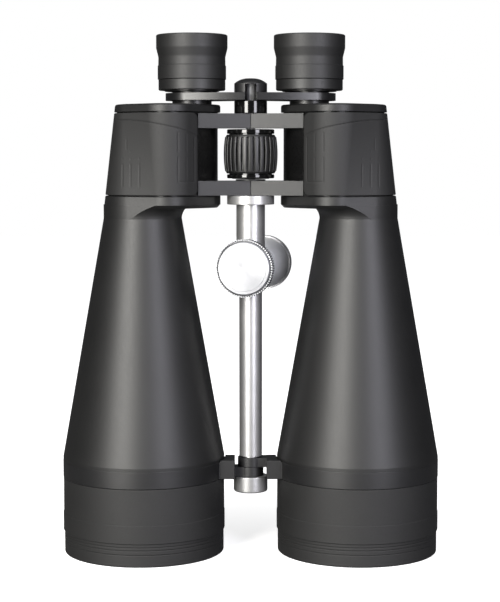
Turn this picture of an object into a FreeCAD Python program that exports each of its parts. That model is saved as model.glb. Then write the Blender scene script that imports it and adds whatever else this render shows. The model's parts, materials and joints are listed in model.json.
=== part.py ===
import FreeCAD, Part

import math
import os

# A giant Porro-prism binocular, 20 x 80 class, standing on its two objective hoods.
# Millimetres. +Z is up, from the objective hoods to the eyecups. X runs across, from the left
# barrel (-X) to the right barrel (+X). -Y is the side with the focus wheel and the lock knob.
# The origin is midway between the two hoods, on the surface that they stand on.

V = FreeCAD.Vector
UP = V(0, 0, 1)

# ---- Layout: the three pairs of axes -------------------------------------------------------
half_gap = 16.3            # from the middle plane to the side of a hood
hinge_y = -2.0             # the rod and both hinges lie on this line, x = 0
eyepiece_x = 35.6          # eyepiece axis from the middle plane
eyepiece_y = 4.0
fold_degrees = 29.0        # each half folds back by this much
run_gap = 0.05             # radial clearance of every running fit
turn_gap = 0.3             # air between faces that pass each other

# ---- Objective end -------------------------------------------------------------------------
hood_height = 46.6
hood_radius = 49.3
hood_mouth_step = 0.4      # the mouth is this much smaller than the band above it
hood_wall = 3.9
hood_ring_z = 13.8
hood_ring_height = 11.3
hood_ring_proud = 0.3
spigot_step = 2.7          # the hood stands this far outside the spigot it is pushed on
spigot_wall = 2.2
spigot_length = 27.0
brace_height = 10.3
brace_proud = 0.2
lens_edge = 11.5
lens_front_bulge = 4.4
cell_wall = 4.2
cell_lip = 1.5
retainer_height = 2.6
retainer_width = 1.6

# ---- Barrels -------------------------------------------------------------------------------
barrel_wall = 2.2
barrel_proud = 0.1
barrel_neck_radius = 23.7
barrel_length = 147.4

# ---- Prism housings ------------------------------------------------------------------------
neck_height = 6.3
flange_height = 7.3
flange_floor = 2.5
cover_height = 4.9
housing_wall = 2.2
armour_thickness = 1.6
armour_margin = 0.5
armour_inner_x = 31.4
armour_corner = 3.6
flange_low_break = 2.0
flange_high_break = 0.4
cover_low_break = 0.3
cover_high_break = 0.9
guide_gap = 0.2             # between the eyepiece guide and the housing wall
prism_lobe_shift = (1.4, 2.0)        # the bulge over the prisms, from the light path between them
prism_lobe_radius = 18.0
neck_step = 0.25            # the housing is this much narrower than the barrel below it
objective_lobe_high = 16.3  # the outer lobe narrows to this at the cover
neck_blend = 6.0
cover_screw_radius = 1.9

# ---- Prisms --------------------------------------------------------------------------------
shelf_thickness = 3.5
prism_floor_gap = 1.06      # under the lower prism
prism_headroom = 6.96       # over the upper prism
prism_half_width = 9.0
prism_end_margin = 9.6
clip_stand_off = 1.44       # how far a clip stands off the ridge of its prism
clip_width = 6.0
light_hole_radius = 9.2

# ---- Hinge ---------------------------------------------------------------------------------
arm_height = 8.8
upper_arm_drop = 0.8        # from the top of the housing to the top of the upper arm
lower_arm_rise = 0.3        # from the bottom of the housing to the bottom of the lower arm
arm_front_mid = 8.0         # how far the arm's front stands before the hinge line, at the middle
arm_front_step = 2.4        # its outer end stands this far before the front of the housing
arm_back = 6.0
arm_seam = 0.15
knuckle_wall = 2.05
pin_wall = 1.3
spindle_radius = 3.0
spindle_length = 10.0
hinge_collar_radius = 9.9
washer_radius = 9.0
washer_height = 0.8

# ---- Focus drive ---------------------------------------------------------------------------
wheel_core_radius = 13.0
wheel_collar_proud = 1.3
wheel_grip_proud = 2.9
wheel_grip_end_proud = 2.1
wheel_collar_height = 2.7
wheel_groove = 0.5
screw_radius = 2.75
screw_gap = 0.45            # between the focus screw and the hinge tube round it
focus_travel = 9.0
nut_depth = 15.0
cap_radius = 9.9
cap_height = 8.6
cap_dome = 3.0
cap_slot_gap = 0.7

# ---- Eyepieces -----------------------------------------------------------------------------
yoke_height = 4.5
yoke_above_cover = 2.2
yoke_ring_wall = 4.0
yoke_hub_width = 4.8
yoke_sweep = 12.0           # degrees by which the front of the arm has swept back at the ring
ocular_radius = 11.95
ocular_wall = 1.7
ocular_guided = 12.5        # how much of the tube stays in its guide at full travel
guide_wall = 1.2
guide_length = 14.0
ocular_neck_wall = 4.55
ocular_head_step = 0.7
ocular_head_gap = 1.0
skirt_gap = 1.7
skirt_wall = 3.05
skirt_height = 6.6
cup_band_proud = 0.45
cup_band_height = 8.3
cup_waist_step = 0.25
cup_flare = 1.2
cup_height = 26.8
cup_wall = 2.0
cup_flare_height = 8.3
eye_lens_step = 0.55
eye_lens_depth = 15.0       # from the cup's rim down to the eye lens
eye_lens_edge = 3.5
field_lens_edge = 2.5

# ---- Centre rod and tripod adapter ---------------------------------------------------------
rod_radius = 7.0
rod_stub_step = 2.0
rod_shoulder_gap = 0.9
socket_flange_radius = 14.3
socket_flange_height = 5.4
sleeve_wall = 1.7
sleeve_length = 26.8
end_cap_radius = 10.4
end_cap_height = 9.6
front_arm_height = 11.4
front_arm_front = 15.0
front_arm_back = 6.0
front_arm_inner_x = 9.7
front_knuckle_wall = 2.85
adapter_drop = 1.0          # from the sleeve of the socket down to the post
adapter_turn = 12.0         # the adapter stands turned about the rod by this much
post_wall = 2.2
post_front = 12.0
post_cone_start = 28.0
post_cone_end = 40.0
post_end = 45.0
post_base_radius = 17.0
post_cone_radius = 16.0
bush_wall = 0.7
bush_short = 1.0            # the bush is this much shorter than the post is thick
tripod_hole_radius = 3.175  # 1/4 inch thread
tripod_hole_depth = 10.0
knob_radius = 16.5
knob_height = 8.2
knob_screw_radius = 4.0
pad_thickness = 1.5
pad_gap = 0.1

# ---- Radii that follow ---------------------------------------------------------------------
barrel_x = hood_radius + half_gap
hood_mouth_radius = hood_radius - hood_mouth_step
hood_bore_radius = hood_mouth_radius - hood_wall
spigot_radius = hood_radius - spigot_step
brace_radius = hood_radius + brace_proud
barrel_wide_radius = hood_radius + barrel_proud
lens_radius = spigot_radius - spigot_wall - cell_wall
guide_radius = ocular_radius + run_gap + guide_wall
eyepiece_lobe_radius = guide_radius + guide_gap + housing_wall + armour_thickness
objective_lobe_low = barrel_neck_radius - neck_step
arm_front_end = hinge_y - (eyepiece_y - eyepiece_lobe_radius) + arm_front_step
prism_path_x = (barrel_x + eyepiece_x - eyepiece_y) / 2
prism_path_y = (eyepiece_y - barrel_x + eyepiece_x) / 2
prism_lobe = (prism_path_x + prism_lobe_shift[0], prism_path_y + prism_lobe_shift[1], prism_lobe_radius)
prism_leg = math.hypot(barrel_x - eyepiece_x, eyepiece_y) / math.sqrt(2)
prism_reach = prism_leg / 2 + prism_end_margin
screw_bore_radius = screw_radius + screw_gap
pin_radius = screw_bore_radius + pin_wall
knuckle_radius = pin_radius + run_gap + knuckle_wall
cap_slot = 2 * (screw_radius + cap_slot_gap)
wheel_collar_radius = wheel_core_radius + wheel_collar_proud
wheel_grip_radius = wheel_core_radius + wheel_grip_proud
wheel_grip_end_radius = wheel_core_radius + wheel_grip_end_proud
yoke_ring_radius = ocular_radius + run_gap + yoke_ring_wall
ocular_neck_radius = ocular_radius + ocular_neck_wall
ocular_head_radius = ocular_neck_radius + ocular_head_step
skirt_radius = ocular_head_radius + skirt_wall
cup_band_radius = skirt_radius + cup_band_proud
cup_waist_radius = cup_band_radius - cup_waist_step
cup_rim_radius = cup_waist_radius + cup_flare
eye_lens_radius = ocular_radius + eye_lens_step
rod_stub_radius = rod_radius - rod_stub_step
sleeve_radius = rod_radius + sleeve_wall
front_knuckle_radius = rod_stub_radius + run_gap + front_knuckle_wall
bush_radius = rod_radius + run_gap + bush_wall
post_radius = bush_radius + run_gap + post_wall
bush_height = 2 * post_radius - bush_short

# ---- Heights that follow -------------------------------------------------------------------
brace_z = hood_height + 0.2
barrel_z = brace_z + brace_height
neck_z = barrel_z + barrel_length
flange_z = neck_z + neck_height
housing_z = flange_z + flange_height
shelf_z = flange_z + flange_floor + prism_floor_gap + clip_stand_off + prism_reach
cover_z = shelf_z + shelf_thickness + prism_reach + clip_stand_off + prism_headroom
cover_top = cover_z + cover_height
yoke_z = cover_top + yoke_above_cover
yoke_top = yoke_z + yoke_height
ocular_length = ocular_guided + focus_travel
skirt_z = yoke_top + skirt_gap
cup_z = skirt_z + skirt_height
cup_top = cup_z + cup_height
lower_arm_z = housing_z + lower_arm_rise
lower_arm_top = lower_arm_z + arm_height
upper_arm_top = cover_z - upper_arm_drop
upper_arm_z = upper_arm_top - arm_height
wheel_z = lower_arm_top + washer_height + turn_gap
wheel_top = upper_arm_z - 2 * turn_gap
spindle_top = wheel_z + spindle_length
front_arm_z = brace_z
front_arm_top = front_arm_z + front_arm_height
rod_shoulder_z = front_arm_top + rod_shoulder_gap
socket_z = lower_arm_z - 2 * run_gap - socket_flange_height
adapter_z = socket_z - sleeve_length - adapter_drop - post_radius
lens_z = barrel_z - spigot_length + 8.5
EYEPIECE = (eyepiece_x, eyepiece_y)
BARREL = (barrel_x, 0.0)
HINGE = (0.0, hinge_y)


# ---- Helpers -------------------------------------------------------------------------------
def rod(radius, z_low, z_high, at=HINGE):
    """A plain upright cylinder."""
    return Part.makeCylinder(radius, z_high - z_low, V(at[0], at[1], z_low), UP)


def tube(outer, inner, z_low, z_high, at=HINGE):
    """An upright cylinder with a bore right through it."""
    return rod(outer, z_low, z_high, at).cut(rod(inner, z_low - 1, z_high + 1, at))


def block(x_low, x_high, y_low, y_high, z_low, z_high):
    """A box from its two corners."""
    return Part.makeBox(x_high - x_low, y_high - y_low, z_high - z_low, V(x_low, y_low, z_low))


def turned(profile, at=HINGE):
    """A piece turned on a lathe: profile is a list of (radius, z), or a closed wire of it."""
    if isinstance(profile, list):
        points = [V(r, 0, z) for r, z in profile]
        profile = Part.makePolygon(points + points[:1])
    solid = Part.Face(profile).revolve(V(0, 0, 0), UP, 360)
    solid.translate(V(at[0], at[1], 0))
    return solid


def bulged(edge_radius, z_low, z_high, low_bulge, high_bulge, at):
    """A lens: a disc whose lower and upper faces bulge outwards, or are flat where that is 0."""
    def bow(z, lift):
        if lift == 0:
            return Part.LineSegment(V(0, 0, z), V(edge_radius, 0, z)).toShape()
        middle = V(edge_radius / 2, 0, z + lift * 0.75)
        return Part.Arc(V(0, 0, z + lift), middle, V(edge_radius, 0, z)).toShape()

    low = bow(z_low, -low_bulge)
    high = bow(z_high, high_bulge)
    rim = Part.LineSegment(V(edge_radius, 0, z_low), V(edge_radius, 0, z_high)).toShape()
    axis = Part.LineSegment(V(0, 0, z_high + high_bulge), V(0, 0, z_low - low_bulge)).toShape()
    return turned(Part.Wire(Part.__sortEdges__([low, rim, high, axis])), at)


def slab(points, z_low, z_high):
    """A flat piece cut to an outline of (x, y) points."""
    corners = [V(x, y, z_low) for x, y in points]
    return Part.Face(Part.makePolygon(corners + corners[:1])).extrude(V(0, 0, z_high - z_low))


def hull_wire(circles, z):
    """The band stretched round some circles, given counter-clockwise as (x, y, radius)."""
    normals = []
    for (x1, y1, r1), (x2, y2, r2) in zip(circles, circles[1:] + circles[:1]):
        along = V(x2 - x1, y2 - y1, 0)
        length = along.Length
        along.normalize()
        outward = V(along.y, -along.x, 0)
        lean = (r1 - r2) / length
        normals.append(along * lean + outward * math.sqrt(1 - lean * lean))
    edges = []
    for i, (x, y, radius) in enumerate(circles):
        centre = V(x, y, z)
        arrive = normals[i - 1]
        leave = normals[i]
        middle = arrive + leave
        if arrive.cross(leave).z < 0 or middle.Length < 1e-6:
            middle = V(arrive.y, -arrive.x, 0) * -1 if middle.Length < 1e-6 else middle * -1
        middle.normalize()
        start = centre + arrive * radius
        end = centre + leave * radius
        edges.append(Part.Arc(start, centre + middle * radius, end).toShape())
        x2, y2, radius2 = circles[(i + 1) % len(circles)]
        edges.append(Part.LineSegment(end, V(x2, y2, z) + leave * radius2).toShape())
    return Part.Wire(edges)


def hull_slab(circles, z_low, z_high):
    """A flat plate with the outline of hull_wire."""
    return Part.Face(hull_wire(circles, z_low)).extrude(V(0, 0, z_high - z_low))


def housing_section(z, inset):
    """The outline of a prism housing at a height, drawn in from its outside by inset."""
    up = (z - flange_z) / (cover_top - flange_z)
    outer = objective_lobe_low + (objective_lobe_high - objective_lobe_low) * up
    px, py, pr = prism_lobe
    lobes = [(eyepiece_x, eyepiece_y, eyepiece_lobe_radius - inset), (px, py, pr - inset)]
    lobes.append((barrel_x, 0.0, outer - inset))
    return hull_wire(lobes, z)


def housing_block(z_low, z_high, inset=0.0):
    """A slice of the housing's tapered form between two heights."""
    ends = [housing_section(z, inset) for z in (flange_z - 1, cover_top + 1)]
    return Part.makeLoft(ends, True, True).common(block(0, 150, -80, 80, z_low, z_high))


def bevelled_plate(z_low, z_high, low_bevel, high_bevel):
    """A plate with the housing's outline and a bevel round each face."""
    levels = [(z_low, low_bevel), (z_low + low_bevel, 0), (z_high - high_bevel, 0)]
    levels.append((z_high, high_bevel))
    return Part.makeLoft([housing_section(z, inset) for z, inset in levels], True, True)


def across(shape):
    """The same piece on the other side of the middle plane."""
    return shape.mirror(V(0, 0, 0), V(1, 0, 0))


def save(name, shape):
    """Write one node, after dropping the seams that fusing leaves."""
    shape = shape.removeSplitter()
    shape.exportStep("parts/%s.step" % name)


def save_pair(name, shape):
    """Write a right-hand piece and its mirrored left-hand twin."""
    save("right_" + name, shape)
    save("left_" + name, across(shape))


# ---- Objective end -------------------------------------------------------------------------
def objective_hood():
    spigot_end = barrel_z - spigot_length
    ring_top = hood_ring_z + hood_ring_height
    profile = [(hood_bore_radius, 0), (hood_mouth_radius, 0), (hood_mouth_radius, hood_ring_z)]
    for groove_z in (7.3, 10.0, 11.8):
        spot = len(profile) - 1
        profile[spot:spot] = [
            (hood_mouth_radius, groove_z - 0.25),
            (hood_mouth_radius - 0.3, groove_z),
            (hood_mouth_radius, groove_z + 0.25),
        ]
    profile += [
        (hood_radius + hood_ring_proud, hood_ring_z + 0.3),
        (hood_radius + hood_ring_proud, ring_top - 0.3),
        (hood_radius, ring_top),
        (hood_radius, hood_height),
        (spigot_radius, hood_height),
        (spigot_radius, spigot_end),
        (hood_bore_radius, spigot_end),
    ]
    return turned(profile, BARREL)


def objective_cell():
    lens_top = lens_z + lens_edge
    outer = spigot_radius - spigot_wall
    profile = [
        (outer, lens_z - retainer_height),
        (outer, lens_top + 3),
        (lens_radius - cell_lip, lens_top + 3),
        (lens_radius - cell_lip, lens_top),
        (lens_radius, lens_top),
        (lens_radius, lens_z - retainer_height),
    ]
    return turned(profile, BARREL)


def objective_lens():
    return bulged(lens_radius, lens_z, lens_z + lens_edge, lens_front_bulge, 0, BARREL)


def lens_retainer():
    inner = lens_radius - retainer_width
    return tube(lens_radius, inner, lens_z - retainer_height, lens_z, BARREL).cut(objective_lens())


def front_arm(z_knuckle_low, z_knuckle_high):
    """The ring round the barrel's end with the arm that reaches the centre rod."""
    front = hinge_y - front_arm_front
    back = hinge_y + front_arm_back
    arm = block(front_arm_inner_x, barrel_x - 30, front, back, front_arm_z, front_arm_top)
    arm = arm.cut(rod(brace_radius + 2 * turn_gap, barrel_z, front_arm_top + 1, BARREL))
    link_front = hinge_y - knuckle_radius
    link = block(0, front_arm_inner_x, link_front, back - 1, z_knuckle_low, z_knuckle_high)
    knuckle = rod(front_knuckle_radius, z_knuckle_low, z_knuckle_high)
    ring = rod(brace_radius, brace_z, barrel_z, BARREL)
    whole = ring.fuse([arm, link.common(rod(20, 0, 100)), knuckle])
    whole = whole.cut(rod(spigot_radius, brace_z - 1, front_arm_top + 1, BARREL))
    return whole.cut(rod(rod_stub_radius + run_gap, front_arm_z - 1, front_arm_top + 1))


# ---- Barrels and housings ------------------------------------------------------------------
def barrel():
    end_z = barrel_z - spigot_length
    top = neck_z
    lead = 2.0
    profile = [
        (spigot_radius, end_z),
        (spigot_radius, barrel_z),
        (barrel_wide_radius, barrel_z),
        (barrel_wide_radius, barrel_z + lead),
        (barrel_neck_radius, top),
        (barrel_neck_radius - barrel_wall, top),
        (spigot_radius - spigot_wall, barrel_z + lead + 8),
        (spigot_radius - spigot_wall, end_z),
    ]
    return turned(profile, BARREL)


def barrel_flange():
    """The casting that closes the housing below and takes the barrel's narrow end."""
    whole = bevelled_plate(flange_z, housing_z, flange_low_break, flange_high_break)
    start = V(barrel_neck_radius, 0, neck_z)
    end = V(barrel_neck_radius + neck_blend, 0, flange_z + flange_low_break)
    bend = V(barrel_neck_radius + 0.29 * neck_blend, 0, flange_z - 0.2 * neck_height)
    edges = [
        Part.Arc(start, bend, end).toShape(),
        Part.LineSegment(end, V(0, 0, end.z)).toShape(),
        Part.LineSegment(V(0, 0, end.z), V(0, 0, neck_z)).toShape(),
        Part.LineSegment(V(0, 0, neck_z), start).toShape(),
    ]
    neck = turned(Part.Wire(edges), BARREL)
    px, py, pr = prism_lobe
    lobes = [(eyepiece_x, eyepiece_y, eyepiece_lobe_radius), (px, py, pr)]
    lobes.append((barrel_x, 0.0, barrel_neck_radius))
    neck = neck.common(hull_slab(lobes, neck_z, housing_z))
    cavity = housing_block(flange_z + flange_floor, housing_z + 1, armour_thickness + housing_wall)
    light = rod(barrel_neck_radius - barrel_wall - 1, neck_z - 1, housing_z, BARREL)
    return whole.fuse(neck).cut(cavity).cut(light)


def prism_housing():
    outer = housing_block(housing_z, cover_z, armour_thickness)
    inner = housing_block(housing_z - 1, cover_z + 1, armour_thickness + housing_wall)
    return outer.cut(inner)


def housing_armour():
    """The rubber skin, whose two front corners are rounded."""
    low = housing_z + armour_margin
    high = cover_z - armour_margin
    skin = housing_block(low, high).cut(housing_block(low - 1, high + 1, armour_thickness))
    window = block(armour_inner_x, barrel_x + 40, -60, 60, low, high)
    corners = [e for e in window.Edges if abs(e.Vertexes[0].Y - e.Vertexes[-1].Y) > 100]
    corners = [e for e in corners if e.Vertexes[0].X < armour_inner_x + 1]
    return skin.common(window.makeFillet(armour_corner, corners))


def cover_plate():
    """The top plate, with the tube in which the eyepiece slides."""
    whole = bevelled_plate(cover_z, cover_top, cover_low_break, cover_high_break)
    bore = ocular_radius + run_gap
    whole = whole.fuse(rod(guide_radius, cover_z - guide_length, cover_z, EYEPIECE))
    for x, y in cover_screw_places():
        whole = whole.cut(rod(cover_screw_radius, cover_top - 1.2, cover_top + 1, (x, y)))
    return whole.cut(rod(bore, cover_z - guide_length - 1, cover_top + 1, EYEPIECE))


def cover_screw_places():
    """Three screws round the plate, clear of the eyepiece."""
    return [(prism_lobe[0] + 1, prism_lobe[1] - 11), (barrel_x + 8, 0), (prism_lobe[0] + 6, 14)]


def cover_screws():
    heads = []
    for x, y in cover_screw_places():
        head = rod(cover_screw_radius, cover_top - 1.2, cover_top - 0.2, (x, y))
        slot = block(x - 2, x + 2, y - 0.25, y + 0.25, cover_top - 0.7, cover_top)
        heads.append(head.cut(slot))
    return Part.makeCompound(heads)


# ---- Prisms --------------------------------------------------------------------------------
def light_path():
    """The three upright stretches of the light: objective, between the prisms, eyepiece."""
    return V(barrel_x, 0, 0), V(prism_path_x, prism_path_y, 0), V(eyepiece_x, eyepiece_y, 0)


def prism_frame(first, second):
    """The centre and direction of a prism, from the two light paths that it joins."""
    along = second - first
    along.normalize()
    return (first + second) * 0.5, along


def prism_wedge(first, second, z, facing, grow=0.0):
    """A right-angled prism: its long face at height z, its ridge above (+1) or below (-1)."""
    centre, along = prism_frame(first, second)
    half = prism_reach + grow
    side = V(-along.y, along.x, 0)
    low = centre + V(0, 0, z)
    ends = [low - along * half, low + along * half, low + UP * (facing * half)]
    depth = prism_half_width + 1
    corners = [p - side * depth for p in ends]
    return Part.Face(Part.makePolygon(corners + corners[:1])).extrude(side * 2 * depth)


def prism(first, second, z, facing):
    """A wedge whose two ends are ground round to the width of the beam."""
    centre, along = prism_frame(first, second)
    reach = prism_reach - prism_half_width
    ends = [centre - along * reach, centre + along * reach]
    circles = [(p.x, p.y, prism_half_width) for p in ends]
    height = prism_reach + 1
    low = z if facing > 0 else z - height
    return prism_wedge(first, second, z, facing).common(hull_slab(circles, low, low + height))


def prism_shelf():
    shelf = housing_block(shelf_z, shelf_z + shelf_thickness, armour_thickness + housing_wall)
    for spot in light_path():
        shelf = shelf.cut(rod(light_hole_radius, shelf_z - 1, shelf_z + shelf_thickness + 1, spot[:2]))
    return shelf


def upper_prism():
    start, middle, end = light_path()
    return prism(start, middle, shelf_z + shelf_thickness, 1)


def lower_prism():
    start, middle, end = light_path()
    return prism(middle, end, shelf_z, -1)


def prism_clips():
    """One spring strap over each prism, with its feet on the shelf."""
    start, middle, end = light_path()
    room = housing_block(housing_z - 3, cover_z, armour_thickness + housing_wall + 0.2)
    straps = []
    for first, second, z, facing in (
        (start, middle, shelf_z + shelf_thickness, 1),
        (middle, end, shelf_z, -1),
    ):
        centre, along = prism_frame(first, second)
        outer = prism_wedge(first, second, z, facing, clip_stand_off)
        strap = outer.cut(prism_wedge(first, second, z, facing))
        corner = V(-2 * prism_reach, -clip_width / 2, -2 * prism_reach)
        band = Part.makeBox(4 * prism_reach, clip_width, 4 * prism_reach, corner)
        band.rotate(V(0, 0, 0), UP, math.degrees(math.atan2(along.y, along.x)))
        band.translate(centre + V(0, 0, z))
        straps.append(strap.common(band).common(room))
    return Part.makeCompound(straps)


# ---- Hinge ---------------------------------------------------------------------------------
def hinge_arm(z_low, own_low, own_high, bore):
    """A right-hand arm. Its own half of the knuckle lies between own_low and own_high."""
    z_high = z_low + arm_height
    wedge = math.tan(math.radians(fold_degrees + 1))
    outline = [
        (arm_seam, hinge_y - arm_front_mid),
        (armour_inner_x, hinge_y - arm_front_end),
        (armour_inner_x, hinge_y + arm_back),
        (arm_seam + arm_back * wedge, hinge_y + arm_back),
        (arm_seam, hinge_y),
    ]
    arm = slab(outline, z_low, z_high)
    arm = arm.cut(rod(knuckle_radius + turn_gap, z_low - 1, z_high + 1))
    whole = arm.fuse(slab(outline, own_low, own_high)).fuse(rod(knuckle_radius, own_low, own_high))
    whole = whole.cut(rod(bore, z_low - 1, z_high + 1))
    return whole.cut(housing_block(housing_z - 1, cover_z + 1, armour_thickness))


def hinge_arms(z_low, low_name, pinned_bore):
    """Both arms of one hinge: the right one has the lower half of the knuckle."""
    middle = z_low + arm_height / 2
    free_bore = pin_radius + run_gap
    right = hinge_arm(z_low, z_low, middle - run_gap, free_bore)
    left = across(hinge_arm(z_low, middle + run_gap, z_low + arm_height, pinned_bore))
    save("right_%s_hinge_arm" % low_name, right)
    save("left_%s_hinge_arm" % low_name, left)


def hinge_tube():
    """The hollow pin of the upper hinge, with the polished collar that stands on the arms."""
    collar_low = upper_arm_top + turn_gap / 2
    collar = rod(hinge_collar_radius, collar_low, yoke_z - turn_gap)
    pin = rod(pin_radius, upper_arm_z, collar_low)
    return collar.fuse(pin).cut(rod(screw_bore_radius, upper_arm_z - 1, yoke_z))


# ---- Centre rod and its socket -------------------------------------------------------------
def rod_socket():
    """The flange and sleeve that hold the rod, with the lower hinge pin on top."""
    flange_top = socket_z + socket_flange_height
    pin_top = lower_arm_top + washer_height
    whole = rod(socket_flange_radius, socket_z, flange_top)
    whole = whole.fuse(rod(sleeve_radius, socket_z - sleeve_length, socket_z))
    whole = whole.fuse(rod(pin_radius, flange_top, pin_top))
    whole = whole.fuse(rod(spindle_radius, pin_top, spindle_top))
    return whole.cut(rod(rod_radius, socket_z - sleeve_length - 1, socket_z + 1))


def centre_rod():
    stub_low = front_arm_z - end_cap_height + 1
    return rod(rod_radius, rod_shoulder_z, socket_z + 1).fuse(rod(rod_stub_radius, stub_low, rod_shoulder_z))


def rod_end_cap():
    low = front_arm_z - end_cap_height - 0.2
    cap = rod(end_cap_radius, low, low + end_cap_height)
    edges = [e for e in cap.Edges if e.Closed and e.CenterOfMass.z < low + 1]
    cap = cap.makeChamfer(0.6, edges)
    return cap.cut(centre_rod())


def hinge_washer():
    return tube(washer_radius, pin_radius, lower_arm_top + 2 * run_gap, lower_arm_top + washer_height)


# ---- Focus drive ---------------------------------------------------------------------------
def focus_wheel():
    whole = rod(wheel_collar_radius, wheel_z, wheel_z + wheel_collar_height)
    whole = whole.fuse(rod(wheel_collar_radius, wheel_top - wheel_collar_height, wheel_top))
    whole = whole.fuse(rod(wheel_core_radius, wheel_z + 1, wheel_top - 1))
    whole = whole.cut(rod(spindle_radius + run_gap, wheel_z - 1, spindle_top + turn_gap))
    whole = whole.cut(rod(screw_radius + run_gap, wheel_top - nut_depth, wheel_top + 1))
    return whole


def focus_wheel_grip():
    low = wheel_z + wheel_collar_height + wheel_groove
    high = wheel_top - wheel_collar_height - wheel_groove
    bow = Part.Arc(
        V(wheel_grip_end_radius, 0, low),
        V(wheel_grip_radius, 0, (low + high) / 2),
        V(wheel_grip_end_radius, 0, high),
    ).toShape()
    corners = [(wheel_grip_end_radius, high), (wheel_core_radius, high), (wheel_core_radius, low)]
    corners.append((wheel_grip_end_radius, low))
    sides = Part.makePolygon([V(r, 0, z) for r, z in corners])
    return turned(Part.Wire([bow] + sides.Edges))


def focus_screw():
    """The screw that the wheel drives up and down; its top carries the eyepiece bridge."""
    low = wheel_top - nut_depth + turn_gap
    return rod(screw_radius, low, yoke_top + cap_height - cap_dome)


def bridge_cap():
    """The domed cap over the yoke arms, open at the front."""
    low = yoke_top + turn_gap
    high = yoke_top + cap_height
    dome = Part.Arc(
        V(0, 0, high), V(cap_radius * 0.6, 0, high - cap_dome * 0.2), V(cap_radius, 0, high - cap_dome)
    ).toShape()
    walls = Part.makePolygon([V(cap_radius, 0, high - cap_dome), V(cap_radius, 0, low), V(0, 0, low)])
    axis = Part.LineSegment(V(0, 0, low), V(0, 0, high)).toShape()
    cap = turned(Part.Wire([dome] + walls.Edges + [axis]))
    slot_high = high - cap_dome - turn_gap
    slot = block(-cap_slot / 2, cap_slot / 2, hinge_y - 12, hinge_y, low - 1, slot_high)
    return cap.cut(slot).cut(focus_screw())


# ---- Eyepieces -----------------------------------------------------------------------------
def yoke_front():
    """The part of a right-hand arm before the hub, whose front bows back to the eyepiece ring."""
    lean = math.radians(yoke_sweep)
    meet_x = eyepiece_x + yoke_ring_radius * math.sin(lean)
    meet_y = eyepiece_y - yoke_ring_radius * math.cos(lean)
    front = meet_y - meet_x * math.tan(lean) / 2
    middle = V(meet_x / 2, front + meet_x * math.tan(lean) / 8, yoke_z)
    bow = Part.Arc(V(arm_seam, front, yoke_z), middle, V(meet_x, meet_y, yoke_z)).toShape()
    corners = [(meet_x, meet_y), (eyepiece_x, eyepiece_y), (arm_seam, hinge_y), (arm_seam, front)]
    sides = Part.makePolygon([V(x, y, yoke_z) for x, y in corners])
    return Part.Face(Part.Wire([bow] + sides.Edges)).extrude(UP * yoke_height)


def yoke_arm(own_low, own_high, bore):
    """A right-hand arm from the focus screw to the ring round the eyepiece."""
    outline = [(0.0, hinge_y, yoke_hub_width), (eyepiece_x, eyepiece_y, yoke_ring_radius)]
    arm = hull_slab(outline, yoke_z, yoke_top).fuse(yoke_front())
    arm = arm.cut(rod(cap_radius + turn_gap, yoke_z - 1, yoke_top + 1))
    link = hull_slab(outline, own_low, own_high)
    whole = arm.fuse([link, rod(cap_radius, own_low, own_high)])
    whole = whole.cut(rod(screw_radius + run_gap, yoke_z - 1, yoke_top + 1))
    half_slot = cap_slot / 2
    slot = block(-half_slot, half_slot, hinge_y - 20, hinge_y, yoke_z - 1, yoke_top + 1)
    return whole.cut(slot).cut(rod(bore, yoke_z - 1, yoke_top + 1, EYEPIECE))


def ocular_tube():
    """The lens tube: the lower part slides in the guide, the wide head carries the eyecup."""
    low = yoke_z - ocular_length
    neck_low = yoke_top + ocular_head_gap
    head_low = skirt_z + 1
    seat_z = cup_top - eye_lens_depth - eye_lens_edge
    head_top = cup_top - eye_lens_depth + 1.5
    inner = ocular_radius - ocular_wall
    field_z = yoke_z - 6
    profile = [
        (ocular_radius, low),
        (ocular_radius, neck_low),
        (ocular_neck_radius, neck_low),
        (ocular_neck_radius, head_low),
        (ocular_head_radius, head_low),
        (ocular_head_radius, head_top),
        (eye_lens_radius, head_top),
        (eye_lens_radius, seat_z),
        (inner - 1.5, seat_z),
        (inner - 1.5, field_z + field_lens_edge),
        (inner, field_z + field_lens_edge),
        (inner, low),
    ]
    return turned(profile, EYEPIECE)


def field_lens():
    z = yoke_z - 6
    return bulged(ocular_radius - ocular_wall, z, z + field_lens_edge, 1.2, 0, EYEPIECE)


def eye_lens():
    high = cup_top - eye_lens_depth
    return bulged(eye_lens_radius, high - eye_lens_edge, high, 0, 1.0, EYEPIECE)


def eyepiece_skirt(gap):
    return tube(skirt_radius, ocular_head_radius + gap, skirt_z, cup_z - run_gap, EYEPIECE)


def eyecup(gap):
    """The rubber cup: a band, a waist and a rim that flares to the eye."""
    band_top = cup_z + cup_band_height
    flare_z = cup_top - cup_flare_height
    waist_z = flare_z - 6
    seat_top = cup_top - eye_lens_depth + 1.5
    soft = 1.2
    profile = [
        (ocular_head_radius + gap, cup_z),
        (cup_band_radius, cup_z),
        (cup_band_radius, band_top),
        (cup_waist_radius, band_top),
        (cup_waist_radius, waist_z),
        (cup_rim_radius, flare_z),
        (cup_rim_radius, cup_top - soft),
        (cup_rim_radius - soft, cup_top),
        (cup_rim_radius - cup_wall, cup_top),
        (cup_waist_radius - cup_wall, waist_z + 2),
        (eye_lens_radius + 1, seat_top + turn_gap),
        (ocular_head_radius + gap, seat_top + turn_gap),
    ]
    return turned(profile, EYEPIECE)


# ---- Tripod adapter ------------------------------------------------------------------------
def along_post(solids):
    """Lay pieces drawn along +Z from the rod's axis so that they point back and slightly right."""
    placed = []
    for solid in solids:
        solid.rotate(V(0, 0, 0), V(1, 0, 0), -90)
        solid.rotate(V(0, 0, 0), UP, -adapter_turn)
        solid.translate(V(0, hinge_y, adapter_z))
        placed.append(solid)
    return placed


def slider_bush():
    half = bush_height / 2
    return tube(bush_radius, rod_radius + run_gap, adapter_z - half, adapter_z + half)


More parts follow.
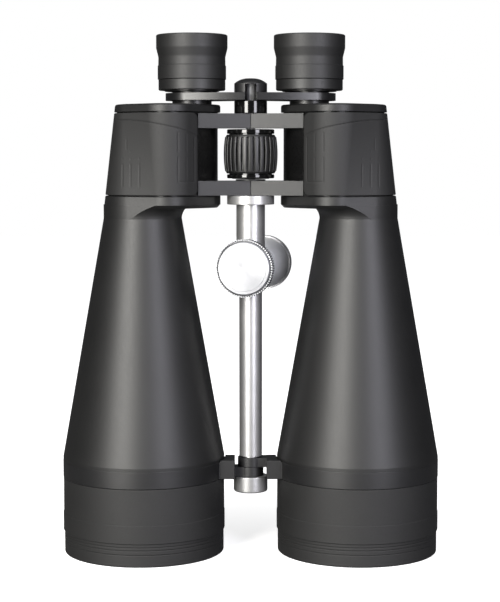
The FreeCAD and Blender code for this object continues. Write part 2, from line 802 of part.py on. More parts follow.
def tripod_post():
    """The post across the rod: a plain body, a cone, and the base with the tripod thread."""
    profile = [
        (0, -post_front),
        (post_radius, -post_front),
        (post_radius, post_cone_start),
        (post_cone_radius, post_cone_end),
        (post_base_radius, post_cone_end),
        (post_base_radius, post_end),
        (0, post_end),
    ]
    body = turned(profile, (0, 0))
    thread = rod(tripod_hole_radius, post_end - tripod_hole_depth, post_end + 1, (0, 0))
    screw_hole = rod(knob_screw_radius + run_gap, -post_front - 1, 0, (0, 0))
    post = along_post([body.cut(thread).cut(screw_hole)])[0]
    return post.cut(rod(bush_radius + run_gap, adapter_z - 30, adapter_z + 30))


def pad_back():
    return -(bush_radius + pad_gap)


def clamp_pad():
    back = pad_back()
    return along_post([rod(knob_screw_radius - 0.3, back - pad_thickness, back, (0, 0))])[0]


def lock_knob():
    """The round knob whose screw presses the pad against the bush."""
    back = -post_front - 2 * turn_gap
    front = back - knob_height
    tip = pad_back() - pad_thickness - pad_gap
    disc = rod(knob_radius, front, back, (0, 0))
    disc = disc.makeChamfer(1.2, [e for e in disc.Edges if e.Closed])
    return along_post([disc.fuse(rod(knob_screw_radius, back - 1, tip, (0, 0)))])[0]


# ---- Build ---------------------------------------------------------------------------------
def build_halves():
    for name, piece in (
        ("objective_hood", objective_hood()),
        ("objective_cell", objective_cell()),
        ("objective_lens", objective_lens()),
        ("lens_retainer", lens_retainer()),
        ("barrel", barrel()),
        ("barrel_flange", barrel_flange()),
        ("prism_housing", prism_housing()),
        ("housing_armour", housing_armour()),
        ("cover_plate", cover_plate()),
        ("cover_screws", cover_screws()),
        ("prism_shelf", prism_shelf()),
        ("upper_prism", upper_prism()),
        ("lower_prism", lower_prism()),
        ("prism_clips", prism_clips()),
    ):
        save_pair(name, piece)
    middle = (front_arm_z + front_arm_top) / 2
    save("right_front_arm", front_arm(middle + run_gap, front_arm_top))
    save("left_front_arm", across(front_arm(front_arm_z, middle - run_gap)))
    hinge_arms(upper_arm_z, "upper", pin_radius)
    hinge_arms(lower_arm_z, "lower", pin_radius + run_gap)
    save("hinge_tube", hinge_tube())


def build_centre():
    save("rod_socket", rod_socket())
    save("centre_rod", centre_rod())
    save("rod_end_cap", rod_end_cap())
    save("hinge_washer", hinge_washer())
    save("focus_wheel", focus_wheel())
    save("focus_wheel_grip", focus_wheel_grip())
    save("focus_screw", focus_screw())
    save("bridge_cap", bridge_cap())


def build_eyepieces():
    middle = (yoke_z + yoke_top) / 2
    save("right_yoke_arm", yoke_arm(yoke_z, middle - run_gap, ocular_radius + run_gap))
    save("left_yoke_arm", across(yoke_arm(middle + run_gap, yoke_top, ocular_radius)))
    save_pair("ocular_tube", ocular_tube())
    save_pair("field_lens", field_lens())
    save_pair("eye_lens", eye_lens())
    save("left_eyepiece_skirt", across(eyepiece_skirt(0.0)))
    save("left_eyecup", across(eyecup(0.0)))
    save("right_diopter_ring", eyepiece_skirt(run_gap))
    save("right_eyecup", eyecup(run_gap))


def build_adapter():
    save("slider_bush", slider_bush())
    save("tripod_post", tripod_post())
    save("clamp_pad", clamp_pad())
    save("lock_knob", lock_knob())


os.makedirs("parts", exist_ok=True)
build_halves()
build_centre()
build_eyepieces()
build_adapter()
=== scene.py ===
import bpy
import bmesh
import json
import math
from mathutils import Matrix, Vector


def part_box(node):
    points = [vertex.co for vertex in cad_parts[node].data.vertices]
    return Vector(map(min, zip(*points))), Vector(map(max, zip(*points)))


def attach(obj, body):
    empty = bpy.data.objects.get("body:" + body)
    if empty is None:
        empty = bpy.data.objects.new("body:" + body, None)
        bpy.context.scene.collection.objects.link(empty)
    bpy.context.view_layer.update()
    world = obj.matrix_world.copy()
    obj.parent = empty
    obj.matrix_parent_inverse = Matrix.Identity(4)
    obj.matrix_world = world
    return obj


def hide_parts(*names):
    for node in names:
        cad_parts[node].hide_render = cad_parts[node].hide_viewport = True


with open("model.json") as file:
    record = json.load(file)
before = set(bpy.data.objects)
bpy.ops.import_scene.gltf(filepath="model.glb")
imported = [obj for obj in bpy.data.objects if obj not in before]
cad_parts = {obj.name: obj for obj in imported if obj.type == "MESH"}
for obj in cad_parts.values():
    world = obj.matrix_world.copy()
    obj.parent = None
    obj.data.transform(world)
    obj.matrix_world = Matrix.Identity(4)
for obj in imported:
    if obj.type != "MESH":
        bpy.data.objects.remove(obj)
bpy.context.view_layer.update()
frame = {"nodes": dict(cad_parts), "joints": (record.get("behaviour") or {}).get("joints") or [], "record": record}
mm = 0.001
slotOf = {part["node"]: part["material_slot"] for part in frame["record"]["subparts"]}
bodyOf = {node: body for body, nodes in frame["record"]["behaviour"]["bodies"].items() for node in nodes}
print("frame loaded:", len(frame["nodes"]), "nodes")


def toLinear(hexColour):
    # sRGB hex to the linear values a shader wants
    parts = [int(hexColour[i:i + 2], 16) / 255 for i in (0, 2, 4)]
    return (*[c / 12.92 if c <= 0.04045 else ((c + 0.055) / 1.055) ** 2.4 for c in parts], 1.0)


def addNode(tree, kind, values=None, links=None, **settings):
    # one node with its settings, its own socket values and what feeds it
    node = tree.nodes.new(kind)
    for name, value in settings.items():
        setattr(node, name, value)
    for socket, value in (values or {}).items():
        node.inputs[socket].default_value = value
    for socket, source in (links or {}).items():
        tree.links.new(source, node.inputs[socket])
    return node


def startMaterial(name, values):
    material = bpy.data.materials.new(name)
    material.use_nodes = True
    tree = material.node_tree
    tree.nodes.clear()
    shader = addNode(tree, "ShaderNodeBsdfPrincipled", values)
    addNode(tree, "ShaderNodeOutputMaterial", links={"Surface": shader.outputs["BSDF"]})
    place = addNode(tree, "ShaderNodeTexCoord").outputs["Object"]
    return material, tree, shader, place


def mottle(tree, place, size, low, high, detail=3.0):
    # blobs about size across; gives the raw noise and the same spread between two values
    noise = addNode(tree, "ShaderNodeTexNoise", {"Scale": 1 / size, "Detail": detail}, {"Vector": place})
    spread = addNode(tree, "ShaderNodeMapRange",
                     {"From Min": 0.3, "From Max": 0.7, "To Min": low, "To Max": high},
                     {"Value": noise.outputs["Fac"]})
    return noise.outputs["Fac"], spread.outputs["Result"]


def tint(tree, shader, amount, dark, light):
    mix = addNode(tree, "ShaderNodeMix", data_type="RGBA", links={"Factor": amount})
    mix.inputs["A"].default_value = toLinear(dark)
    mix.inputs["B"].default_value = toLinear(light)
    tree.links.new(mix.outputs["Result"], shader.inputs["Base Color"])


def bump(tree, shader, height, depth):
    node = addNode(tree, "ShaderNodeBump", {"Strength": 1.0, "Distance": depth}, {"Height": height})
    tree.links.new(node.outputs["Normal"], shader.inputs["Normal"])


def enamel(name, dark, light, rough, peel):
    # sprayed paint: soft clouds in the colour, fine orange peel in the gloss
    material, tree, shader, place = startMaterial(name, {"IOR": 1.5})
    grain, roughness = mottle(tree, place, 1.1 * mm, rough - 0.03, rough + 0.03)
    amount = mottle(tree, place, 25 * mm, 0.0, 1.0)[1]
    tint(tree, shader, amount, dark, light)
    tree.links.new(roughness, shader.inputs["Roughness"])
    bump(tree, shader, grain, peel)
    return material


def moulded(name, dark, light, rough, metallic, grainSize, depth):
    # moulded or blackened pieces: an even fine grain all over
    material, tree, shader, place = startMaterial(name, {"Metallic": metallic})
    grain, roughness = mottle(tree, place, grainSize, rough - 0.05, rough + 0.05)
    tint(tree, shader, grain, dark, light)
    tree.links.new(roughness, shader.inputs["Roughness"])
    bump(tree, shader, grain, depth)
    return material


def turnedMetal(name, dark, light, rough, centre, axis, aniso=0.6, metallic=0.85):
    # metal off the lathe, part mirror and part matt: tool marks run round the axis and draw the light across them
    material, tree, shader, place = startMaterial(name, {"Metallic": metallic, "Anisotropic": aniso})
    arm = addNode(tree, "ShaderNodeVectorMath", operation="SUBTRACT", links={0: place})
    arm.inputs[1].default_value = centre
    along = addNode(tree, "ShaderNodeVectorMath", operation="DOT_PRODUCT", links={0: arm.outputs["Vector"]})
    along.inputs[1].default_value = axis
    step = addNode(tree, "ShaderNodeVectorMath", operation="SCALE", links={"Scale": along.outputs["Value"]})
    step.inputs[0].default_value = axis
    flat = addNode(tree, "ShaderNodeVectorMath", operation="SUBTRACT",
                   links={0: arm.outputs["Vector"], 1: step.outputs["Vector"]})
    out = addNode(tree, "ShaderNodeVectorMath", operation="LENGTH", links={0: flat.outputs["Vector"]})
    marks = addNode(tree, "ShaderNodeCombineXYZ", links={"X": along.outputs["Value"], "Y": out.outputs["Value"]})
    roughness = mottle(tree, marks.outputs["Vector"], 0.5 * mm, rough - 0.05, rough + 0.05, 4.0)[1]
    amount = mottle(tree, place, 9 * mm, 0.0, 1.0)[1]
    tint(tree, shader, amount, dark, light)
    tree.links.new(roughness, shader.inputs["Roughness"])
    around = addNode(tree, "ShaderNodeVectorMath", operation="CROSS_PRODUCT", links={1: flat.outputs["Vector"]})
    around.inputs[0].default_value = axis
    tree.links.new(around.outputs["Vector"], shader.inputs["Tangent"])
    return material


def coatedGlass(name, colour, film):
    # optical glass with an anti-reflection film: clear, with a coloured glint
    material, tree, shader, place = startMaterial(name, {
        "Base Color": toLinear(colour), "Transmission Weight": 1.0, "IOR": 1.52,
        "Thin Film Thickness": film, "Thin Film IOR": 1.38})
    roughness = mottle(tree, place, 6 * mm, 0.0, 0.02)[1]
    tree.links.new(roughness, shader.inputs["Roughness"])
    return material


hinge = Vector(next(j["pos_m"] for j in frame["joints"] if j["name"] == "right_fold"))
postAxis = Vector(next(j["axis"] for j in frame["joints"] if j["name"] == "knob_turn"))
postCentre = Vector(next(j["pos_m"] for j in frame["joints"] if j["name"] == "knob_turn"))
upright = Vector((0, 0, 1))
finish = {
    "satin_black_barrel": enamel("barrelEnamel", "0b0b0b", "0f0f0f", 0.50, 0.010 * mm),
    "satin_black_metal": enamel("armEnamel", "0d0d0e", "111112", 0.46, 0.005 * mm),
    "gloss_black_metal": enamel("glossEnamel", "060606", "090909", 0.10, 0.001 * mm),
    "hood_rubber": enamel("hoodEnamel", "0e0e0e", "131313", 0.66, 0.012 * mm),
    "eyepiece_shell": enamel("eyepieceEnamel", "0c0c0c", "111111", 0.50, 0.010 * mm),
    "black_aluminium": moulded("blackAnodised", "030303", "060606", 0.30, 0.0, 0.5 * mm, 0.004 * mm),
    "armour_rubber": moulded("armourRubber", "0e0e0e", "151515", 0.66, 0.0, 0.6 * mm, 0.015 * mm),
    "grip_rubber": moulded("gripRubber", "0b0b0b", "121212", 0.42, 0.0, 0.6 * mm, 0.008 * mm),
    "eyecup_rubber": moulded("eyecupRubber", "0c0c0c", "131313", 0.56, 0.0, 0.7 * mm, 0.012 * mm),
    "bright_aluminium": turnedMetal("turnedAluminium", "7f8083", "8a8b8e", 0.42, postCentre, postAxis, 0.6, 0.7),
    # painted light: the steel gets a pale base and a large diffuse share, so the focus screw reads lit in the
    # shade of its slot
    "polished_steel": turnedMetal("oiledSteel", "98989a", "a4a4a6", 0.50, hinge, upright, 0.1, 0.4),
    "spring_steel": turnedMetal("springSteel", "85868a", "9a9b9e", 0.30, hinge, upright),
    "brass": turnedMetal("turnedBrass", "b08d4a", "c9a866", 0.25, hinge, upright),
    "black_steel": moulded("blackenedSteel", "101012", "19191b", 0.35, 0.6, 0.4 * mm, 0.003 * mm),
    "nylon": moulded("blackNylon", "101010", "161616", 0.45, 0.0, 0.8 * mm, 0.005 * mm),
    "lens_glass": coatedGlass("coatedLens", "eef6f2", 430.0),
    "prism_glass": coatedGlass("prismGlass", "f2f5f2", 250.0),
}
rodFinish = turnedMetal("turnedRod", "a8a8a8", "b2b2b2", 0.38, hinge, upright, 0.1)
# painted light: the tripod post gets a much paler, less metallic copy of the turned aluminium, so it reads lit
# where the lock knob shades it
postPaintedLightFinish = turnedMetal("turnedPost", "dadbdd", "e6e7e8", 0.36, postCentre, postAxis, 0.7, 0.2)
yokeFinish = enamel("yokeEnamel", "0c0c0d", "101011", 0.33, 0.004 * mm)
neckFinish = enamel("neckEnamel", "070707", "0a0a0a", 0.38, 0.002 * mm)
finishOf = {node: finish[slot] for node, slot in slotOf.items()}
finishOf["tripod_post"] = postPaintedLightFinish
for side in ("left", "right"):
    finishOf[side + "_yoke_arm"] = yokeFinish
    finishOf[side + "_ocular_tube"] = neckFinish
for node in ("centre_rod", "rod_socket", "rod_end_cap"):
    finishOf[node] = rodFinish
for node, piece in frame["nodes"].items():
    for spot in piece.material_slots:
        spot.material = finishOf[node]
print("finishes mixed")


def standIn(name, mesh, *nodes, smoothAngle=30):
    # a finished mesh becomes a piece that takes over from its CAD nodes
    bmesh.ops.recalc_face_normals(mesh, faces=mesh.faces)
    data = bpy.data.meshes.new(name)
    mesh.to_mesh(data)
    mesh.free()
    data.shade_smooth()
    data.set_sharp_from_angle(angle=math.radians(smoothAngle))
    data.materials.append(finishOf[nodes[0]])
    piece = bpy.data.objects.new(name, data)
    bpy.context.scene.collection.objects.link(piece)
    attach(piece, bodyOf[nodes[0]])
    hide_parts(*nodes)
    return piece


def rounded(corners, steps=5, pad=0.06):
    # (across, up, round) corners in mm; a corner with a round becomes a curve between two flat lands
    points = []
    for i, (x, y, radius) in enumerate(corners):
        here = Vector((x, y))
        before = Vector(corners[i - 1][:2]) - here
        after = Vector(corners[(i + 1) % len(corners)][:2]) - here
        if radius == 0 or min(before.length, after.length) < 1e-6:
            points.append(here)
            continue
        half = before.angle(after) / 2
        reach = min(radius / math.tan(half), before.length * 0.48, after.length * 0.48)
        before.normalize()
        after.normalize()
        points.append(here + before * (reach + pad))
        for k in range(steps + 1):
            t = k / steps
            points.append(here + before * reach * (1 - t) ** 2 + after * reach * t * t)
        points.append(here + after * (reach + pad))
    return points


def joinRings(mesh, rings, closed=True):
    # skins a list of vertex rings; a ring of one vertex is a pole
    pairs = list(zip(rings, rings[1:]))
    if closed:
        pairs.append((rings[-1], rings[0]))
    for low, high in pairs:
        count = max(len(low), len(high))
        if count == 1:
            continue
        for k in range(count):
            corners = [low[k % len(low)], low[(k + 1) % len(low)],
                       high[(k + 1) % len(high)], high[k % len(high)]]
            mesh.faces.new(list(dict.fromkeys(corners)))


def turnOn(mesh, corners, place, facets=160):
    # sweeps rounded (radius, height) corners round the Z axis of place
    rings = []
    for point in rounded(corners):
        if point.x < 1e-6:
            rings.append([mesh.verts.new(place @ Vector((0, 0, point.y * mm)))])
            continue
        turns = [2 * math.pi * k / facets for k in range(facets)]
        rings.append([mesh.verts.new(place @ (Vector((math.cos(t) * point.x, math.sin(t) * point.x,
                                                      point.y)) * mm)) for t in turns])
    joinRings(mesh, rings)


def middleOf(node):
    low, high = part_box(node)
    return (Vector(low) + Vector(high)) / 2


def sizeOf(node):
    # bottom, top and half width in mm
    low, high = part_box(node)
    return low[2] / mm, high[2] / mm, (high[0] - low[0]) / 2 / mm


def axisAt(node):
    centre = middleOf(node)
    return Matrix.Translation((centre.x, centre.y, 0))


# Soft-edged castings and turnings: the CAD solid with every hard edge broken
softEdges = {
    "upper_hinge_arm": 0.35, "lower_hinge_arm": 0.35, "front_arm": 0.35, "yoke_arm": 0.30,
    "barrel_flange": 0.30, "rod_socket": 0.35, "rod_end_cap": 0.30,
    "hinge_tube": 0.35, "tripod_post": 0.35, "bridge_cap": 0.30, "ocular_tube": 0.25,
    "prism_housing": 0.30,
}


def breakEdges(node, width):
    mesh = bmesh.new()
    mesh.from_mesh(frame["nodes"][node].data)
    bmesh.ops.remove_doubles(mesh, verts=mesh.verts, dist=0.002 * mm)
    bmesh.ops.dissolve_limit(mesh, angle_limit=math.radians(0.6), verts=mesh.verts, edges=mesh.edges)
    hard = [e for e in mesh.edges if len(e.link_faces) == 2 and e.calc_face_angle(0) > math.radians(24)]
    bmesh.ops.bevel(mesh, geom=hard, offset=width * mm, offset_type="OFFSET", segments=3, profile=0.5,
                    affect="EDGES", clamp_overlap=True)
    piece = standIn(node + "_finished", mesh, node, smoothAngle=32)
    shade = piece.modifiers.new("evenNormals", "WEIGHTED_NORMAL")
    shade.keep_sharp = True
    return piece


for node in frame["nodes"]:
    plain = node.replace("left_", "").replace("right_", "")
    if plain in softEdges:
        breakEdges(node, softEdges[plain])
print("castings and turnings finished")


def buildHood(side):
    size = {"mouthRound": 0.9, "grooves": (7.3, 10.0, 11.8), "groove": 0.45, "depth": 0.3, "mouth": 48.9,
            "ring": (13.8, 25.1), "band": 49.3, "proud": 0.28, "bore": 45.0, "spigot": 46.6,
            "ridges": 9, "ridgePitch": 3.0, "ridgeDepth": 0.45}
    node = side + "_objective_hood"
    low, high = sizeOf(node)[:2]
    shoulder = sizeOf(side + "_front_arm")[0] - 0.2
    corners = [(size["bore"], low, 0.6), (size["mouth"], low, size["mouthRound"])]
    for z in size["grooves"]:
        corners += [(size["mouth"], z - size["groove"], 0.12), (size["mouth"] - size["depth"], z, 0.1),
                    (size["mouth"], z + size["groove"], 0.12)]
    ringLow, ringHigh = size["ring"]
    proud = size["band"] + size["proud"]
    corners += [(size["mouth"], ringLow, 0.1), (proud, ringLow + 0.35, 0.3), (proud, ringHigh - 0.2, 0.3),
                (size["band"], ringHigh + 0.1, 0.1), (size["band"], shoulder, 0.4),
                (size["spigot"], shoulder, 0), (size["spigot"], high, 0)]
    corners.append((size["bore"], high, 0))
    for k in range(size["ridges"]):
        z = high - 1.5 - k * size["ridgePitch"]
        corners += [(size["bore"], z, 0), (size["bore"] - size["ridgeDepth"], z - 0.5, 0.1),
                    (size["bore"], z - 1.0, 0)]
    mesh = bmesh.new()
    turnOn(mesh, corners, axisAt(node), 200)
    standIn(side + "_hood_turned", mesh, node)


def buildEyecup(side):
    size = {"band": 20.7, "bandHeight": 8.3, "waist": 20.35, "rim": 21.6, "flare": 8.0, "wall": 2.0, "bore": 17.4,
            "shelf": 13.8, "shelfDrop": 13.2}
    node = side + "_eyecup"
    low, high = sizeOf(node)[:2]
    bandTop = low + size["bandHeight"]
    flareLow = high - size["flare"] - 5.5
    corners = [
        (size["bore"], low, 0), (size["band"], low, 0.25), (size["band"], bandTop - 0.15, 0.3),
        (size["waist"], bandTop + 0.15, 0.1), (size["waist"] - 0.1, flareLow, 6.0),
        (size["rim"], high - size["flare"], 5.0), (size["rim"], high, 1.5),
        (size["rim"] - size["wall"], high, 0.7), (size["rim"] - size["wall"] - 1.1, flareLow + 1.5, 4.0),
        (size["shelf"], high - size["shelfDrop"], 0.3), (size["bore"], high - size["shelfDrop"], 0),
    ]
    mesh = bmesh.new()
    turnOn(mesh, corners, axisAt(node), 176)
    standIn(side + "_eyecup_moulded", mesh, node)


def buildSkirt(node):
    size = {"bore": 17.25, "chamfer": 0.5, "topRound": 0.3}
    low, high, half = sizeOf(node)
    corners = [(size["bore"], low, 0), (half - size["chamfer"], low, 0.1), (half, low + size["chamfer"], 0.2),
               (half, high - 0.15, size["topRound"]), (size["bore"], high - 0.05, 0)]
    mesh = bmesh.new()
    turnOn(mesh, corners, axisAt(node), 176)
    standIn(node + "_turned", mesh, node)


for side in ("left", "right"):
    buildHood(side)
    buildEyecup(side)
buildSkirt("left_eyepiece_skirt")
buildSkirt("right_diopter_ring")
print("hoods and eyecups turned")


# the lobes of the housing seen from above: across, front to back, radius
lobes = {"eyepiece": (35.6, 4.0, 17.2), "prism": (50.0, -11.0, 18.0), "barrel": (65.6, 0.0),
         "barrelLow": 23.45, "barrelHigh": 16.3, "flangeHeight": 6.3}


def housingOutline(side, z, inset, count):
    # the band round the three lobes, as (point, outward) pairs
    flangeLow = sizeOf("right_barrel_flange")[0] + lobes["flangeHeight"]
    coverTop = sizeOf("right_cover_plate")[1]
    up = (z - flangeLow) / (coverTop - flangeLow)
    radius = lobes["barrelLow"] + (lobes["barrelHigh"] - lobes["barrelLow"]) * up
    rows = [lobes["eyepiece"], lobes["prism"], (*lobes["barrel"], radius)]
    sign = 1 if side == "right" else -1
    outline = []
    for k in range(count):
        turn = math.pi + 2 * math.pi * k / count
        out = Vector((math.cos(turn), math.sin(turn)))
        x, y, r = max(rows, key=lambda lobe: lobe[0] * out.x + lobe[1] * out.y + lobe[2])
        spot = Vector((x, y)) + out * (r - inset)
        outline.append((Vector((spot.x * sign, spot.y)), Vector((out.x * sign, out.y))))
    return outline


armour = {
    "thick": 1.6, "innerX": 31.4, "corner": 3.6, "edge": 0.55, "columns": 400,
    "groove": 0.40, "depth": 0.20, "pitch": 0.42, "seam": (4.2, 9.5, 60.0),
    "line": (226.7, 33.4, 43.0),
    # upright strokes: distance from the middle plane, bottom, top, strength
    "strokes": ((33.4, 228.0, 253.0, 1.0), (37.9, 227.0, 241.0, 0.6), (37.9, 244.7, 255.0, 0.6),
                (42.8, 227.0, 241.0, 1.2), (42.8, 244.7, 255.6, 1.2), (66.1, 224.0, 237.0, 0.9),
                (71.5, 224.0, 237.0, 0.9), (76.4, 224.0, 237.0, 0.9), (66.1, 240.3, 240.4, 0.9),
                (71.5, 240.3, 240.4, 0.9), (76.4, 240.3, 240.4, 0.9), (71.5, 244.6, 244.7, 0.7),
                (74.0, 246.0, 252.0, 0.6)),
}


def armourDip(spot, out, u, z, high):
    # how deep the moulded relief is at one place on the skin
    dip = 0.0
    stretch = max(abs(out.y), 0.3)
    for x, bottom, top, strength in armour["strokes"]:
        near = math.hypot((abs(spot.x) - x) / stretch, z - min(max(z, bottom), top))
        if near < 2:
            dip = max(dip, strength * math.exp(-(near / armour["groove"]) ** 2))
    level, start, end = armour["line"]
    if start < abs(spot.x) < end:
        dip = max(dip, math.exp(-((z - level) / armour["groove"]) ** 2))
    drop, rise, span = armour["seam"]
    if u < span:
        seam = high - drop - rise * ((span - u) / span) ** 2
        dip = max(dip, 1.6 * math.exp(-((z - seam) * 1.25 / armour["groove"]) ** 2))
    return armour["depth"] * dip


def skinRun(side, z, start):
    # the skin's path at one height, from the front inner edge round the outside to the back one
    walk = housingOutline(side, z, 0, 720)
    beyond = [k for k, (spot, out) in enumerate(walk) if abs(spot.x) >= start]
    first = next(k for k in beyond if walk[k][0].y < 0)
    last = beyond[-1]
    ends = []
    for inside, outside in ((first - 1, first), ((last + 1) % len(walk), last)):
        a, b = walk[inside][0], walk[outside][0]
        ends.append((a.lerp(b, (start - abs(a.x)) / (abs(b.x) - abs(a.x))), walk[outside][1]))
    return [ends[0]] + walk[first:last + 1] + [ends[1]]


def buildArmour(side):
    node = side + "_housing_armour"
    low, high = sizeOf(node)[:2]
    height = high - low
    edge, corner, columns = armour["edge"], armour["corner"], armour["columns"]
    ends = [0, 0.05, 0.14, 0.28, 0.42, edge]
    rows = int((height - 2 * edge) / armour["pitch"])
    ups = ends[:-1] + [edge + (height - 2 * edge) * k / rows for k in range(rows + 1)]
    ups += [height - e for e in reversed(ends[:-1])]
    mesh = bmesh.new()
    outer, inner = [], []
    for up in ups:
        reach = min(up, height - up, corner)
        cut = corner - math.sqrt(corner ** 2 - (corner - reach) ** 2)
        run = skinRun(side, low + up, armour["innerX"] + cut)
        lengths = [0.0]
        for a, b in zip(run, run[1:]):
            lengths.append(lengths[-1] + (b[0] - a[0]).length)
        total = lengths[-1]
        along = [total * k / columns for k in range(columns + 1)]
        along[:6] = ends
        along[-6:] = [total - e for e in reversed(ends)]
        outer.append([])
        inner.append([])
        spot = 0
        for u in along:
            while spot < len(lengths) - 2 and lengths[spot + 1] < u:
                spot += 1
            t = (u - lengths[spot]) / max(lengths[spot + 1] - lengths[spot], 1e-9)
            p = run[spot][0].lerp(run[spot + 1][0], t)
            n = run[spot][1].lerp(run[spot + 1][1], t).normalized()
            border = min(u, total - u, up, height - up)
            dip = armourDip(p, n, min(u, total - u) + cut, low + up, high)
            if border < edge:
                dip += edge - math.sqrt(max(edge ** 2 - (edge - border) ** 2, 0))
            for line, q in ((outer[-1], p - n * dip), (inner[-1], p - n * (armour["thick"] - 0.02))):
                if line is outer[-1] or up in (0, height):
                    line.append(mesh.verts.new((q.x * mm, q.y * mm, (low + up) * mm)))
    for a, b in zip(outer, outer[1:]):
        for k in range(columns):
            mesh.faces.new((a[k], a[k + 1], b[k + 1], b[k]))
    lowInner, highInner = inner[0], inner[-1]
    for k in range(columns):
        mesh.faces.new((lowInner[k], highInner[k], highInner[k + 1], lowInner[k + 1]))
        mesh.faces.new((outer[0][k + 1], outer[0][k], lowInner[k], lowInner[k + 1]))
        mesh.faces.new((outer[-1][k], outer[-1][k + 1], highInner[k + 1], highInner[k]))
    mesh.faces.new([row[0] for row in outer] + [highInner[0], lowInner[0]])
    mesh.faces.new([row[-1] for row in reversed(outer)] + [lowInner[-1], highInner[-1]])
    standIn(side + "_armour_moulded", mesh, node, smoothAngle=40)


for side in ("left", "right"):
    buildArmour(side)
print("armour moulded")


def socketId(tree, name):
    return next(s.identifier for s in tree.interface.items_tree if s.name == name)


def bakeNodes(name, tree, settings):
    # runs a node tree on an empty mesh and keeps the result as a plain mesh
    carrier = bpy.data.objects.new(name, bpy.data.meshes.new(name))
    bpy.context.scene.collection.objects.link(carrier)
    modifier = carrier.modifiers.new(name, "NODES")
    modifier.node_group = tree
    for label, value in settings.items():
        modifier[socketId(tree, label)] = value
    bpy.context.view_layer.update()
    shape = carrier.evaluated_get(bpy.context.evaluated_depsgraph_get())
    data = bpy.data.meshes.new_from_object(shape)
    bpy.data.objects.remove(carrier)
    mesh = bmesh.new()
    mesh.from_mesh(data)
    return mesh


def inputSockets(tree, **kinds):
    for name, kind in kinds.items():
        tree.interface.new_socket(name, in_out="INPUT", socket_type="NodeSocket" + kind)
    tree.interface.new_socket("Geometry", in_out="OUTPUT", socket_type="NodeSocketGeometry")
    return addNode(tree, "NodeGroupInput").outputs


ringRadius = 1.0  # from the axis to the origin of each copy, on top of the distance built into the shape


def setRound(tree, source, given):
    # copies of one shape on a small ring about Z, joined, moved into place and given their finish
    ring = addNode(tree, "GeometryNodeMeshCircle", {"Radius": ringRadius * mm}, {"Vertices": given["count"]})
    index = addNode(tree, "GeometryNodeInputIndex").outputs[0]
    turn = addNode(tree, "ShaderNodeMath", links={0: index, 1: given["step"]}, operation="MULTIPLY")
    turned = addNode(tree, "ShaderNodeCombineXYZ", links={"Z": turn.outputs[0]})
    copies = addNode(tree, "GeometryNodeInstanceOnPoints",
                     links={"Points": ring.outputs["Mesh"], "Instance": source, "Rotation": turned.outputs[0]})
    joined = addNode(tree, "GeometryNodeRealizeInstances", links={0: copies.outputs[0]})
    moved = addNode(tree, "GeometryNodeTransform",
                    links={"Geometry": joined.outputs[0], "Translation": given["at"]})
    painted = addNode(tree, "GeometryNodeSetMaterial",
                      links={"Geometry": moved.outputs[0], "Material": given["finish"]})
    addNode(tree, "NodeGroupOutput", links={0: painted.outputs[0]})


def ribTree():
    # bowed ribs with round ends, set round an upright axis
    tree = bpy.data.node_groups.new("wheelRibs", "GeometryNodeTree")
    given = inputSockets(tree, count="Int", step="Float", ribWidth="Float", ribDepth="Float", ribRound="Float",
                         start="Vector", middle="Vector", end="Vector", at="Vector", finish="Material")
    bow = addNode(tree, "GeometryNodeCurveArc", {"Resolution": 30}, mode="POINTS",
                  links={"Start": given["start"], "Middle": given["middle"], "End": given["end"]})
    # full width along the rib, falling to nothing in a quarter round at each end
    swell = addNode(tree, "GeometryNodeSplineParameter").outputs["Factor"]
    for operation, amount in (("MULTIPLY", 2.0), ("SUBTRACT", 1.0), ("ABSOLUTE", 0.0), ("POWER", 12.0),
                              ("MULTIPLY", -1.0), ("ADD", 1.0), ("POWER", 0.5), ("MAXIMUM", 0.02)):
        swell = addNode(tree, "ShaderNodeMath", {1: amount}, {0: swell}, operation=operation).outputs[0]
    tapered = addNode(tree, "GeometryNodeSetCurveRadius", links={"Curve": bow.outputs["Curve"], "Radius": swell})
    block = addNode(tree, "GeometryNodeCurvePrimitiveQuadrilateral", mode="RECTANGLE",
                    links={"Width": given["ribWidth"], "Height": given["ribDepth"]})
    section = addNode(tree, "GeometryNodeFilletCurve", {"Count": 4, "Limit Radius": True}, mode="POLY",
                      links={"Curve": block.outputs["Curve"], "Radius": given["ribRound"]})
    rib = addNode(tree, "GeometryNodeCurveToMesh", {"Fill Caps": True},
                  {"Curve": tapered.outputs["Curve"], "Profile Curve": section.outputs["Curve"]})
    setRound(tree, rib.outputs["Mesh"], given)
    return tree


def knurlTree():
    # straight knurl: round ridges set round a rim, along Z
    tree = bpy.data.node_groups.new("rimKnurl", "GeometryNodeTree")
    given = inputSockets(tree, count="Int", step="Float", ridge="Float", length="Float", spot="Vector",
                         at="Vector", finish="Material")
    bar = addNode(tree, "GeometryNodeMeshCylinder", {"Vertices": 10},
                  {"Radius": given["ridge"], "Depth": given["length"]})
    ridge = addNode(tree, "GeometryNodeTransform",
                    links={"Geometry": bar.outputs["Mesh"], "Translation": given["spot"]})
    setRound(tree, ridge.outputs[0], given)
    return tree


